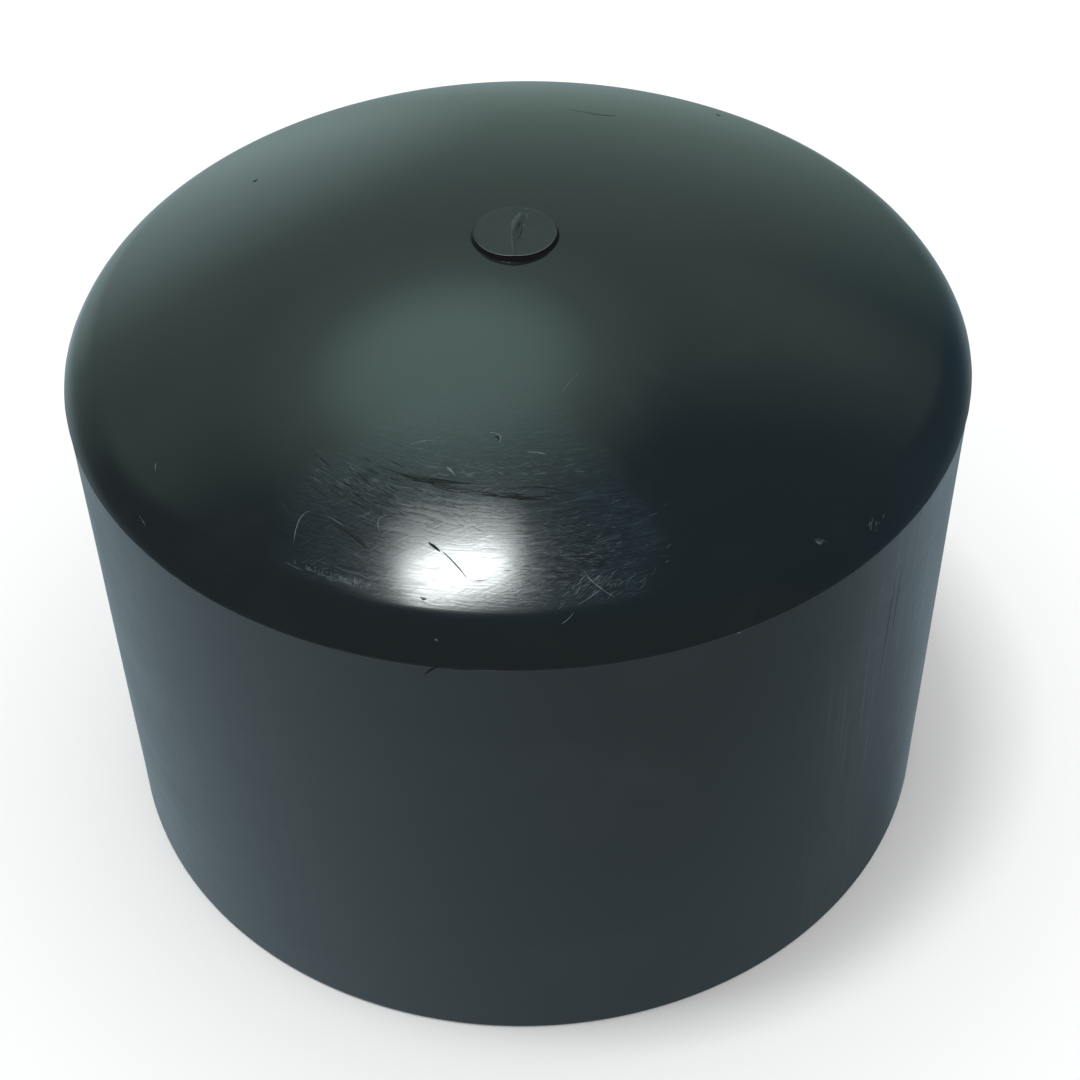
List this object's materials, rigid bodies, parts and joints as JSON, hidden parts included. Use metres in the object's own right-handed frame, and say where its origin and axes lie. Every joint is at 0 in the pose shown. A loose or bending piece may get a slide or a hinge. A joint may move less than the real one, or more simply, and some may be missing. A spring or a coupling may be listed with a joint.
{
  "type": "pipe end cap",
  "caption": "Thick-walled plain-spigot end cap with a shallow domed head, for butt fusion to the end of a plastic pressure pipe.",
  "frame": {"origin": "centre of the spigot's end face, on the axis of the cap", "axes": "+Z along the cap's axis from the spigot's end face to the domed head; -Y towards the high edge of the pared-off gate stub on the crown"},
  "size_m": [0.1604, 0.1604, 0.1213],
  "materials": {
    "black_polyethylene": "satin, moulded, lightly scuffed"
  },
  "bodies": {
    "root": {"cap_body": "black_polyethylene"}
  },
  "joints": []
}
